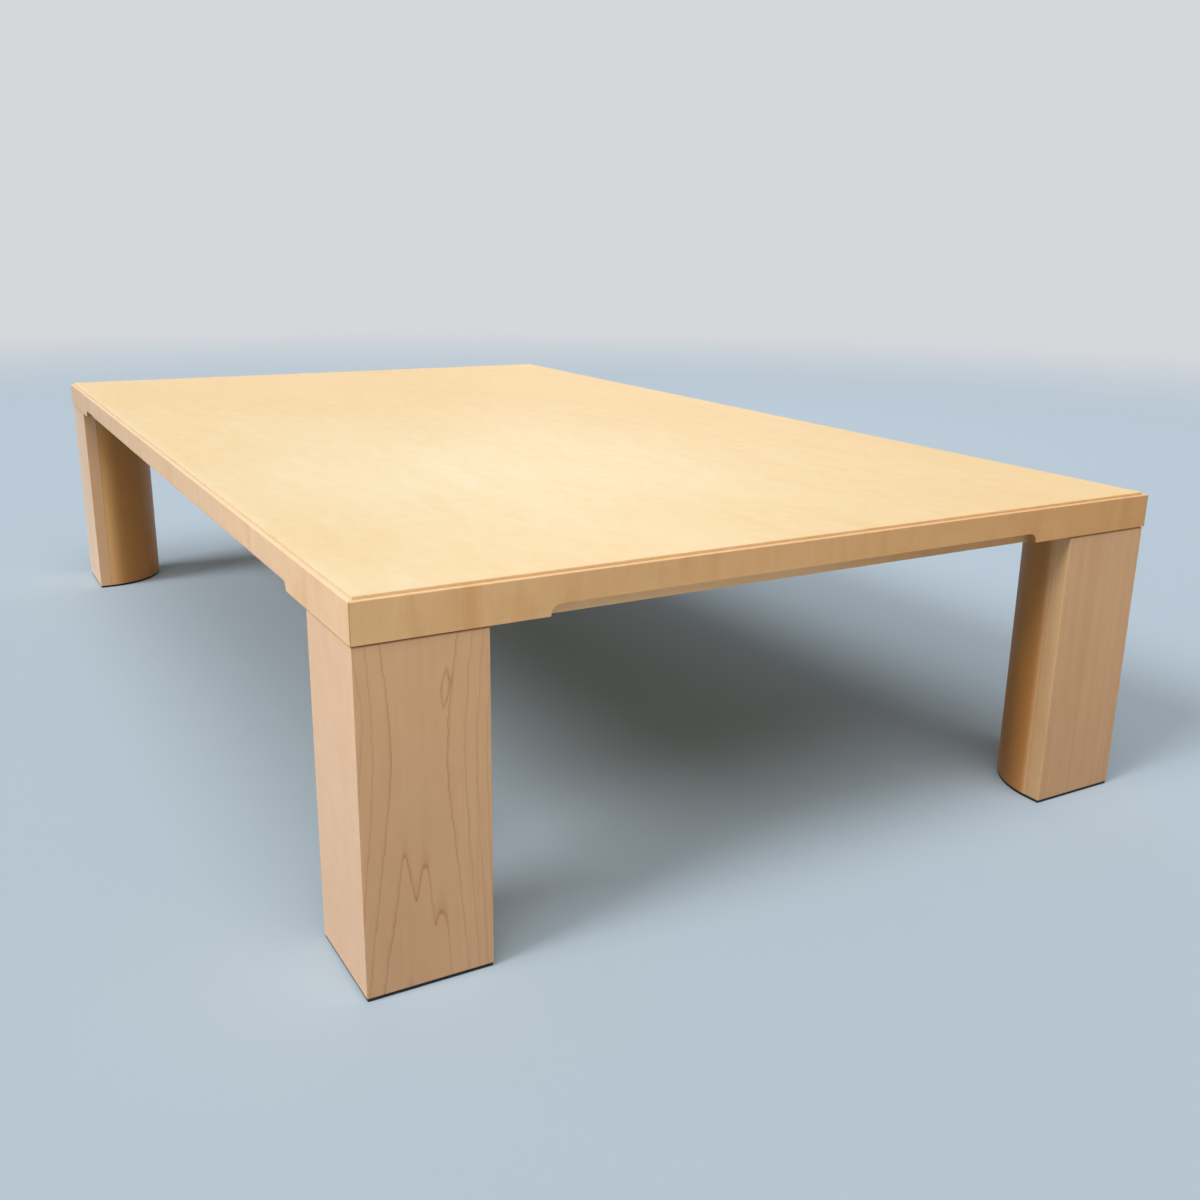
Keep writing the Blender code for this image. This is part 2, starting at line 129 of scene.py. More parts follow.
SWAP_X_AND_Y = Matrix(((0, 1, 0, 0), (1, 0, 0, 0), (0, 0, 1, 0), (0, 0, 0, 1)))


def length_property(name, description, default, least=0.0001):
    """A length in metres that a user can change."""
    return FloatProperty(name=name, description=description, default=default, min=least, unit="LENGTH")


def angle_property(name, description, degrees):
    """An angle that a user can change."""
    return FloatProperty(name=name, description=description, default=math.radians(degrees), subtype="ANGLE")


def vector_property(name, description, default, subtype):
    """A place or a direction that a user can change."""
    return FloatVectorProperty(name=name, description=description, default=default, subtype=subtype)


def colour_property(name, description, default, most=1):
    """A colour that a user can change."""
    return FloatVectorProperty(name=name, description=description, default=default, subtype="COLOR",
                               min=0, max=most)


def strength_property(name, description, default):
    """A lamp's strength that a user can change."""
    return FloatProperty(name=name, description=description, default=default, min=0)


def count_property(name, description, default, least):
    """A number of facets that a user can change."""
    return IntProperty(name=name, description=description, default=default, min=least)


class TableShape(bpy.types.PropertyGroup):
    """Sizes that the solids' boxes don't give."""

    panel_arris: length_property("Panel Arris", "Rounding of the panel's upper edges", 0.0006)
    edge_arris: length_property("Edge Arris", "Rounding of the edge boards' edges", 0.0008)
    rebate_arris: length_property("Rebate Arris", "Rounding of the rebate's outer edge", 0.0004)
    rebate_height: length_property("Rebate Height", "Height of the stopped rebate", 0.0098, 0.001)
    rebate_depth: length_property("Rebate Depth", "Depth of the stopped rebate", 0.008, 0.001)
    rebate_stop: length_property("Rebate Stop", "From the table's corner to the rebate's end", 0.169, 0.01)
    rebate_steps: count_property("Rebate Steps", "Facets of the rebate's quarter-round ends", 16, 4)
    leg_arris: length_property("Leg Arris", "Rounding of the legs' upright edges", 0.0009, 0.0002)
    leg_chamfer: length_property("Leg Chamfer", "Chamfer at the legs' tops", 0.0018)
    foot_chamfer: length_property("Foot Chamfer", "Chamfer at the legs' feet", 0.0005)
    bent_panel: length_property("Bent Panel", "Thickness of the bent inner panels", 0.012, 0.001)
    bent_steps: count_property("Bent Steps", "Facets of a leg's round side", 72, 8)
    arris_steps: count_property("Arris Steps", "Facets of a rounded edge", 4, 1)
    pad_arris: length_property("Pad Arris", "Rounding of the pads' edges", 0.0003)


class TableColours(bpy.types.PropertyGroup):
    """Colours of the finishes, as linear values."""

    veneer: colour_property("Veneer", "The panel's maple veneer under clear lacquer", (0.957, 0.83, 0.573))
    veneer_deep: colour_property("Veneer Figure", "Darker figure of the veneer", (0.87, 0.634, 0.294))
    # Painted sheen: the veneer takes this tint everywhere except its painted pale patches.
    veneer_beyond_sheen: colour_property("Veneer Rim", "Tint of the veneer away from its palest part",
                                (0.955, 0.844, 0.70))
    # Painted shade on the panel's short edges.
    veneer_end_shade: colour_property("Veneer Ends", "Tint of the panel's short edges", (0.98, 0.92, 0.88))
    veneer_side: colour_property("Veneer Sides", "Tint of the panel's long edges", (0.90, 0.92, 0.96))
    edge: colour_property("Long Edge Maple", "Maple of the long edge boards", (0.96, 0.63, 0.357))
    # Partly the short boards' own deeper tone, partly painted shade of the table's ends.
    edge_end_tone_and_shade: colour_property("Short Edge Maple", "Deeper maple of the short edge boards",
                              (0.93, 0.56, 0.26))
    leg: colour_property("Leg Maple", "Maple of the right legs' boards on the long sides",
                         (0.89, 0.58, 0.352))
    # Painted shade: the right legs' long boards darken towards the foot.
    leg_foot_shade: colour_property("Leg Fade", "Tint of those boards at the foot", (0.86, 0.86, 0.89))
    leg_left: colour_property("Left Leg Maple", "Maple of the left legs' boards on the long sides",
                              (0.84, 0.60, 0.41))
    # Painted shadow: the left legs' long boards darken towards the top.
    left_top_shadow: colour_property("Left Leg Fade", "Tint of those boards at the top", (0.88, 0.88, 0.84))
    # Partly the end boards' own deeper tone, partly painted shade of the legs' end faces.
    leg_end_tone_and_shade: colour_property("Leg End Maple", "Deeper maple of the front legs' end boards",
                             (0.86, 0.50, 0.256))
    # Painted shade: a darker copy of the end boards' maple for the back legs.
    leg_end_back_shaded: colour_property("Back Leg End Maple", "Maple of the back legs' end boards",
                                  (0.80, 0.457, 0.222))
    # Painted shade: the end boards darken towards the foot.
    leg_end_foot_shade: colour_property("Leg End Fade", "Tint of the end boards at the foot", (0.82, 0.82, 0.83))
    leg_strip: colour_property("Leg Strip", "Tint of the long boards' narrow inner edges",
                               (1.0, 0.84, 0.67))
    # Painted shadow: the long boards' inner edges keep a darker tint above this paler lower part.
    strip_below_shadow: colour_property("Low Strip", "Paler lower part of those inner edges", (0.86, 0.50, 0.26))
    end_strip: colour_property("End Strip", "Tint of the end boards' narrow inner edges", (0.93, 1.0, 1.0))
    figure: colour_property("Figure", "How the darker figure tints the maple", (0.75, 0.56, 0.36))
    leg_figure: colour_property("Leg Figure", "How the growth lines tint the legs' maple",
                                (0.68, 0.50, 0.40))
    ledge: colour_property("Ledge", "Paler maple of the narrow ledge round the panel", (0.90, 0.70, 0.48))
    # Painted light in the front half of the short rebates.
    rebate: colour_property("Rebate", "Paler maple in the front half of the short rebates",
                            (1.0, 0.63, 0.32))
    # Painted shade: a long board darkens towards its left end.
    long_far_shade: colour_property("Long Edge Fade", "Tint of a long board at its left end",
                               (0.73, 0.745, 0.77))
    # Painted shade: a short board darkens towards its back end.
    short_back_shade: colour_property("Short Edge Fade", "Tint of a short board at its back end",
                                (0.82, 0.695, 0.53))
    # Painted shadow: the bent panels darken towards their tops.
    bent_top_shadow: colour_property("Bent Fade", "Tint of the bent panels at their tops", (0.93, 0.92, 0.92))
    warm_band: colour_property("Warm Band", "Tint of a warm streak across the right board",
                               (0.92, 0.82, 0.70))
    # Partly the bent veneer's own darker tone, partly painted shade under the table.
    bent: colour_property("Bent Maple", "Face veneer of the bent inner panels", (0.55, 0.24, 0.061))
    # Painted light where a bend starts.
    bent_start_light: colour_property("Bent Start", "Paler veneer where a bend starts", (0.95, 0.50, 0.185))
    # Painted shade at the foot of the back legs' bends.
    bent_foot_shade: colour_property("Bent Foot", "Tint of the back legs' bends at the foot", (0.62, 0.60, 0.58))
    plywood: colour_property("Plywood", "Sealed plywood of the underside sheet", (0.66, 0.47, 0.28))
    softwood: colour_property("Softwood", "Planed softwood of the core", (0.70, 0.51, 0.30))
    softwood_deep: colour_property("Softwood Rings", "Late wood of the core", (0.50, 0.28, 0.12))
    beech: colour_property("Beech", "Raw beech of the dowels", (0.62, 0.42, 0.25))
    beech_fleck: colour_property("Beech Fleck", "Flecks of the dowels", (0.40, 0.23, 0.11))
    # Dark stain in the mitres, and painted shade in the legs' top joints, at the rebates' ends and along
    # the short boards' lower edges.
    stain_and_shade: colour_property("Stain", "Dark finish gathered in joints and cutter burn", (0.15, 0.05, 0.008))
    rubber: colour_property("Rubber", "Black rubber of the foot pads", (0.012, 0.011, 0.010))
    zinc: colour_property("Zinc", "Zinc plating of the bolts and inserts", (0.56, 0.56, 0.55))


class TableStage(bpy.types.PropertyGroup):
    """Camera, floor and light."""

    camera_place: vector_property("Camera Place", "Where the camera stands",
                                  (1.592941, -0.720068, 0.603482), "TRANSLATION")
    camera_yaw: angle_property("Camera Yaw", "Turn of the view from -X towards +Y", 29.8795)
    camera_pitch: angle_property("Camera Pitch", "How far the camera looks down", 16.5024)
    camera_roll: angle_property("Camera Roll", "Lean of the camera about its own axis", -0.8172)
    camera_lens: FloatProperty(name="Camera Lens", description="Focal length in millimetres",
                               default=36.8195, min=1, unit="CAMERA")
    floor: colour_property("Floor", "Pale floor", (0.43, 0.52, 0.60))
    floor_radius: length_property("Floor Radius", "Radius at which the floor has faded out", 7.0, 1)
    backdrop: colour_property("Backdrop", "Pale backdrop behind the table", (0.67, 0.68, 0.71))
    fill: colour_property("Fill", "Even light from all sides", (0.20, 0.195, 0.185), 2)
    key_strength: strength_property("Key Strength", "Key light in watts per square metre", 1.65)
    key_from: vector_property("Key From", "Direction that the key light comes from",
                              (0.40, -0.19, 0.90), "DIRECTION")
    key_spread: angle_property("Key Spread", "Angle that the key light fills", 50)
    front_strength: strength_property("Front Strength", "Front light in watts per square metre", 1.97)
    front_from: vector_property("Front From", "Direction that the front light comes from",
                                (0.08, -0.76, 0.645), "DIRECTION")
    front_spread: angle_property("Front Spread", "Angle that the front light fills", 22)
    sheen_power: strength_property("Sheen Power", "Lamp that glosses the top, in watts", 5.5)
    sheen_place: vector_property("Sheen Place", "Where the lamp that glosses the top hangs",
                                 (-2.2, 1.5, 2.0), "TRANSLATION")
    sheen_size: length_property("Sheen Size", "Side of the lamp that glosses the top", 1.3, 0.1)


class Value:
    """A number in a shader with Python's operators: an expression adds its Math nodes."""

    def __init__(self, nodes, socket):
        self.nodes = nodes
        self.socket = socket

    def math(self, operation, other, turned=False):
        """Add a Math node for this value and another one."""
        first, second = (other, self) if turned else (self, other)
        return self.nodes.value("Math", {"operation": operation}, {0: first, 1: second})

    def __add__(self, other):
        return self.math("ADD", other)

    def __sub__(self, other):
        return self.math("SUBTRACT", other)

    def __rsub__(self, other):
        return self.math("SUBTRACT", other, turned=True)

    def __mul__(self, other):
        return self.math("MULTIPLY", other)

    def __truediv__(self, other):
        return self.math("DIVIDE", other)

    def __neg__(self):
        return self.math("MULTIPLY", -1.0)

    __radd__ = __add__
    __rmul__ = __mul__

    def alone(self, operation):
        """Add a Math node that takes this value only."""
        return self.nodes.value("Math", {"operation": operation}, {0: self})

    def clamped(self):
        """This value, held between 0 and 1."""
        return self.nodes.value("Clamp", None, {0: self})


class Nodes:
    """The nodes of one material or world."""

    def __init__(self, tree):
        self.tree = tree
        self.tree.nodes.clear()

    def node(self, kind, settings=None, sockets=None):
        """Add a node: its settings first, then the values or links of its sockets."""
        made = self.tree.nodes.new("ShaderNode" + kind)
        for name, setting in (settings or {}).items():
            setattr(made, name, setting)
        for key, given in (sockets or {}).items():
            if isinstance(given, Value):
                self.tree.links.new(given.socket, made.inputs[key])
            elif isinstance(given, bpy.types.NodeSocket):
                self.tree.links.new(given, made.inputs[key])
            else:
                made.inputs[key].default_value = given
        return made

    def value(self, kind, settings=None, sockets=None, output=0):
        """Add a node and take one of its outputs as a number."""
        return Value(self, self.node(kind, settings, sockets).outputs[output])

    def blend(self, share, first, second, way="MIX"):
        """Mix two colours."""
        settings = {"data_type": "RGBA", "blend_type": way}
        return self.node("Mix", settings, {0: share, 6: opaque(first), 7: opaque(second)}).outputs[2]

    def tint(self, share, colour, other):
        """Multiply a colour by another one where the share is 1."""
        return self.blend(share, colour, other, way="MULTIPLY")

    def vector(self, x, y, z):
        """Put three values together."""
        return self.node("CombineXYZ", None, {0: x, 1: y, 2: z}).outputs[0]

    def step(self, value, low, high):
        """A soft step from 0 at low to 1 at high."""
        sockets = {"Value": value, "From Min": low, "From Max": high}
        return self.value("MapRange", {"interpolation_type": "SMOOTHSTEP"}, sockets)

    def hump(self, value, middle, reach):
        """A smooth hump of height 1 about a middle."""
        away = (value - middle) / reach
        return (-(away * away)).alone("EXPONENT")

    def noise(self, place, cell, detail=2.0, roughness=0.5, distortion=0.0):
        """Noise about 0 at a place in the wood, with the size of its cells along, across and into it."""
        vector = self.vector(*(value / size for value, size in zip(place, cell)))
        sockets = {"Vector": vector, "Scale": 1.0, "Detail": detail, "Roughness": roughness,
                   "Distortion": distortion}
        return self.value("TexNoise", {"noise_dimensions": "3D"}, sockets) - 0.5

    def grain(self, turn, place):
        """Millimetres along, across and into the wood, from a place on the piece."""
        coordinates = self.node("TexCoord").outputs["Object"]
        rotation = Matrix.Rotation(turn[1], 3, "Y") if turn[1] else Matrix.Rotation(turn[2], 3, "Z")
        shift = rotation @ Vector(place) * -MILLIMETRES
        sockets = {"Vector": coordinates, "Location": shift, "Rotation": turn, "Scale": (MILLIMETRES,) * 3}
        mapped = self.node("Mapping", {"vector_type": "POINT"}, sockets).outputs[0]
        split = self.node("SeparateXYZ", None, {0: mapped})
        return [Value(self, output) for output in split.outputs]


def opaque(colour):
    """A colour with its alpha, or a socket as it is."""
    return colour if isinstance(colour, bpy.types.NodeSocket) else (*colour, 1.0)


def darker(colour, share):
    """A share of a colour's light."""
    return [channel * share for channel in colour]


# Turns that bring the grain of a piece to X
GRAIN_ALONG_X = (0, 0, 0)
GRAIN_ALONG_Y = (0, 0, -math.pi / 2)
GRAIN_UPRIGHT = (0, math.pi / 2, 0)


def start_finish(name):
    """A new material and its node builder."""
    material = bpy.data.materials.new(name)
    material.use_nodes = True
    return material, Nodes(material.node_tree)


def end_finish(nodes, colour, roughness, relief, depth, specular=0.5, metallic=0.0):
    """Close a material with its shader; relief is the form of the surface and depth its reach in metres."""
    bump = nodes.node("Bump", None, {"Strength": 1.0, "Distance": depth, "Height": relief})
    sockets = {"Base Color": colour, "Roughness": roughness, "Specular IOR Level": specular,
               "Metallic": metallic, "Normal": bump.outputs[0]}
    shader = nodes.node("BsdfPrincipled", None, sockets)
    nodes.node("OutputMaterial", None, {"Surface": shader.outputs[0]})


def growth_lines(nodes, rings, line_share, shade_share):
    """Late wood of each ring: it darkens slowly towards the ring's end and stops there in a fine line."""
    part = rings.alone("FRACT")
    start = 1 - line_share
    crest = 1 - line_share / 3
    shade = nodes.step(part, 1 - shade_share, 1.0)
    line = nodes.step(part, start, crest) * (1 - nodes.step(part, crest, 1.0))
    return shade, line


def maple(name, light, deep, turn, place, figure, painted_shade, marks):
    """Lacquered maple: fine grain, flecks, blotches and slow changes of tone, under a figure of its own.

    deep is how the figure tints the wood. painted_shade gives two places along the grain, in millimetres,
    and the tint of painted shade at the second one. marks adds what is on one piece only, and says how dull
    it is.
    """
    material, nodes = start_finish(name)
    wood = nodes.grain(turn, place)
    fine = nodes.noise(wood, FIBRE, detail=3, roughness=0.65)
    spot = nodes.step(nodes.noise(wood, FLECK, detail=1), 0.16, 0.30)
    blotch = nodes.noise(wood, BLOTCH)
    tone = nodes.noise(wood, SLOW_TONE, detail=1)
    share = figure(nodes, wood) + fine * 0.20 + spot * 0.10 + blotch * 0.26 + tone * 0.30 + 0.15
    colour = nodes.blend(share.clamped(), light, [one * other for one, other in zip(light, deep)])
    first, second, tint = painted_shade
    along = nodes.grain(turn, (0, 0, 0))[0]
    colour = nodes.tint(nodes.value("MapRange", None, {0: along, 1: first, 2: second}), colour, tint)
    colour, dull = marks(nodes, colour)
    roughness = 0.46 + fine * 0.12 + spot * 0.06 + dull * 0.5
    end_finish(nodes, colour, roughness, relief=fine * 0.6 - spot * 0.4, depth=0.00002, specular=0.35)
    return material


def cross_bands(nodes, wood):
    """Soft bands across the grain, where the fibres turn, some of them with one sharp side."""
    ripple = nodes.noise(wood, (17, 60, 60), detail=3, distortion=0.6)
    patch = nodes.noise(wood, (34, 120, 120), detail=1)
    rays = nodes.noise(wood, (1.7, 24, 24))
    return ripple * 0.48 + nodes.step(patch, 0.06, 0.14) * 0.14 + rays * 0.16


def plain_grain(nodes, wood):
    """Nearly plain wood with faint rays across the grain."""
    return nodes.noise(wood, (9, 40, 40)) * 0.14


def straight_stripes(nodes, wood):
    """Quarter-sawn wood with soft stripes along the grain."""
    stripe = nodes.noise(wood, (420, 6.5, 6.5))
    thin = nodes.noise(wood, (300, 1.8, 1.8))
    return stripe * 0.36 + thin * 0.20


def cathedral_lines(nodes, wood):
    """Growth lines of a flat-sawn leg board: an hourglass, a split flame low down and an eye high up.

    Upright pieces only: the wood is measured from the leg's top, its outer corner and the board's face.
    """
    up, across, depth = wood
    down = -up
    face = (down, across, 0.0)
    sway = nodes.noise(face, (22, 30, 1))
    shake = nodes.noise(face, (3.2, 9, 1))
    right = across + sway * 3.2 + shake * 1.7
    waist = 96.0
    waist_reach = 60.0
    drop = down - waist
    crown = ((drop * drop + waist_reach ** 2).alone("SQRT") - waist_reach) * 8.86 + 529.0
    heart = 54.0 - down * 0.025
    away = right - heart
    first_peak = nodes.hump(right, 35.0, 4.5) * (1 - nodes.step(down, 235.0, 275.0)) * 185.0
    flank = nodes.hump(right, 76.5, 3.5) * nodes.step(down, 235.0, 255.0) * 250.0
    flames = first_peak - flank
    for middle, reach, fall in FLAME_DIPS:
        flames = flames - nodes.hump(right, middle, reach) * fall
    flames = flames * nodes.step(down, 130.0, 170.0)
    left_loop = nodes.hump(right, 4.0, 7.0) * nodes.hump(down, 55.0, 32.0) * 400.0
    upper = nodes.hump(right, 51.0, 16.0) * nodes.hump(down, -6.0, 22.0) * 420.0
    height = crown - away * away + flames - left_loop - upper
    rings = height / 936.0 + depth / 4.5 + 8.0
    shade, line = growth_lines(nodes, rings, line_share=0.06, shade_share=0.24)
    beside = ((right - 74.4 + (down - 46.0) * 0.11) / 3.3).alone("ABSOLUTE")
    above = ((down - 45.5) / 15.5).alone("ABSOLUTE")
    eye = nodes.hump(beside + above * above, 1.0, 0.30)
    knot = nodes.hump(right, 79.5, 2.0) * nodes.hump(down, 40.0, 6.0)
    broken = nodes.noise(face, (17, 6, 1), detail=3)
    stripe = nodes.noise(face, (300, 7, 1))
    thin = nodes.noise(face, (400, 1.9, 1)) * nodes.step(right, 80.0, 100.0)
    upper_left = (1 - nodes.step(right, 14.0, 20.0)) * (1 - nodes.step(down, 150.0, 190.0))
    faint = nodes.step(right, 84.0, 92.0) * 0.5 + upper_left * 0.45
    marks = line * (0.42 + broken * 0.95) * (1 - faint) + eye * (0.5 + broken * 0.6) + knot * 0.3
    return shade * 0.24 + marks + stripe * 0.22 + thin * 0.5


def piece_from(shape, place, name, material, node):
    """Move a bmesh to its place, and make it a piece of the table that stands for a CAD node."""
    bmesh.ops.transform(shape, matrix=place, verts=shape.verts)
    bmesh.ops.remove_doubles(shape, verts=shape.verts, dist=MERGE_DISTANCE)
    bmesh.ops.recalc_face_normals(shape, faces=shape.faces)
    mesh = bpy.data.meshes.new(name)
    shape.to_mesh(mesh)
    shape.free()
    mesh.shade_smooth()
    mesh.set_sharp_from_angle(angle=SHARP_ANGLE)
    mesh.materials.append(material)
    piece = bpy.data.objects.new(name, mesh)
    bpy.context.scene.collection.objects.link(piece)
    normals = piece.modifiers.new("Flat faces stay flat", "WEIGHTED_NORMAL")
    normals.keep_sharp = True
    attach(piece, BODY)
    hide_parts(node)


def arc(centre, radius, start, end, steps):
    """Points along an arc, angles in radians."""
    angles = [start + (end - start) * step / steps for step in range(steps + 1)]
    return [(centre[0] + radius * math.cos(angle), centre[1] + radius * math.sin(angle))
            for angle in angles]


def extruded(geometry, kind):
    """The new vertices or faces that an extrusion gives back."""
    return [item for item in geometry if isinstance(item, kind)]


def loft(rings):
    """A closed solid: the first ring's face is extruded from ring to ring, each of as many points.

    The face's edges go along with it, so that no face stays inside.
    """
    shape = bmesh.new()
    order = shape.verts.layers.int.new("order")
    corners = [shape.verts.new(point) for point in rings[0]]
    for number, corner in enumerate(corners):
        corner[order] = number
    face = shape.faces.new(corners)
    for ring in rings[1:]:
        grown = bmesh.ops.extrude_face_region(shape, geom=[face, *face.edges])["geom"]
        for corner in extruded(grown, bmesh.types.BMVert):
            corner.co = ring[corner[order]]
        face = extruded(grown, bmesh.types.BMFace)[0]
    return shape


def round_edges(shape, edges, radius, steps):
    """Round off some edges of a shape."""
    bmesh.ops.bevel(shape, geom=edges, offset=radius, offset_type="OFFSET", affect="EDGES", segments=steps,
                    profile=0.5, material=-1)


def corner_frame(turn):
    """Frame of a leg: its outer corner, with X and Y pointing inwards."""
    half = Vector((LENGTH, WIDTH, 0)) / 2
    side = Matrix.Rotation(math.radians(turn), 4, "Z")
    signs = {0: (-1, -1), 90: (1, -1), 180: (1, 1), 270: (-1, 1)}[turn]
    corner = TABLE_MIDDLE + Vector((signs[0] * half.x, signs[1] * half.y, 0))
    return Matrix.Translation(corner) @ side @ Matrix.Translation((LEG_INSET, LEG_INSET, 0))


def dress(node, material):
    """Give a CAD node that stays in view its finish."""
    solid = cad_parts[node]
    solid.data.materials.clear()
    solid.data.materials.append(material)


class FLOORTABLE_OT_panel(bpy.types.Operator):
    """Model the veneered panel with softened edges"""

    bl_idname = "floor_table.panel"
    bl_label = "Veneered Panel"

    def execute(self, context):
        sizes = context.scene.table_shape
        shape = bmesh.new()
        bmesh.ops.create_cube(shape, size=1.0)
        bmesh.ops.scale(shape, vec=PANEL_HIGH - PANEL_LOW, verts=shape.verts)
        bmesh.ops.translate(shape, vec=(PANEL_HIGH + PANEL_LOW) / 2, verts=shape.verts)
        middle = (PANEL_HIGH.z + PANEL_LOW.z) / 2
        shown = [edge for edge in shape.edges if max(vert.co.z for vert in edge.verts) > middle]
        round_edges(shape, shown, sizes.panel_arris, sizes.arris_steps)
        material = self.veneer(context.scene.table_colours)
        piece_from(shape, Matrix(), "veneered_panel", material, "top_panel")
        return {"FINISHED"}

    def veneer(self, colours):
        """Quilted maple veneer: smoky streaks along it, soft blisters, sparse flecks and slow tones, with a
        painted sheen and painted shade on the short edges.
        """
        material, nodes = start_finish("figured_maple_veneer")
        along, across, _ = nodes.grain(GRAIN_ALONG_X, (0, 0, PANEL_HIGH.z))
        face = (along, across, 0.0)
        wander = nodes.noise(face, (210, 90, 1), detail=3, distortion=0.5)
        drifted = (along + wander * 165.0, across + wander * 50.0, 0.0)
        smoke = nodes.noise(drifted, (110, 25, 1), detail=4, roughness=0.6, distortion=0.8)
        quilt = nodes.noise(face, (24, 16, 1), detail=3, distortion=0.6)
        fine = nodes.noise(face, (40, 1.2, 1), roughness=0.6)
        spot = nodes.step(nodes.noise(face, (7, 4, 1), detail=1), 0.19, 0.34)
        tone = nodes.noise(face, (420, 200, 1), detail=1)
        share = smoke * 0.68 + quilt * 0.42 + spot * 0.30 + fine * 0.22 + tone * 0.50 + 0.45
        colour = nodes.blend(share.clamped(), colours.veneer, colours.veneer_deep)
        right_end = PANEL_HIGH.x * MILLIMETRES
        back = PANEL_HIGH.y * MILLIMETRES
        front = PANEL_LOW.y * MILLIMETRES
        # Painted sheen: paler in the middle of the top, at the near corner and in a band along the front
        # edge.
        pale = nodes.hump(along, 330.0, 420.0) * nodes.hump(across, -150.0, 300.0)
        painted_corner_sheen = nodes.hump(along, right_end, 100.0) * nodes.hump(across, front, 100.0)
        paler = pale + painted_corner_sheen * 0.5 + nodes.hump(across, front, 9.0) * 0.35
        colour = nodes.tint(1 - paler, colour, colours.veneer_beyond_sheen)
        # Painted shade: darker on the short edges and in a narrow band of the top beside them.
        inset = right_end - along.alone("ABSOLUTE")
        end = nodes.hump(inset, 0.0, 6.0) * 0.3 + (1 - nodes.step(inset, 0.2, 1.0)) * 0.7
        colour = nodes.tint(end, colour, colours.veneer_end_shade)
        inset = back - across.alone("ABSOLUTE")
        colour = nodes.tint(1 - nodes.step(inset, 0.2, 0.8), colour, colours.veneer_side)
        roughness = 0.40 + quilt * 0.10 + spot * 0.06
        end_finish(nodes, colour, roughness, relief=fine * 0.4 + quilt * 0.6, depth=0.00003, specular=0.2)
        return material


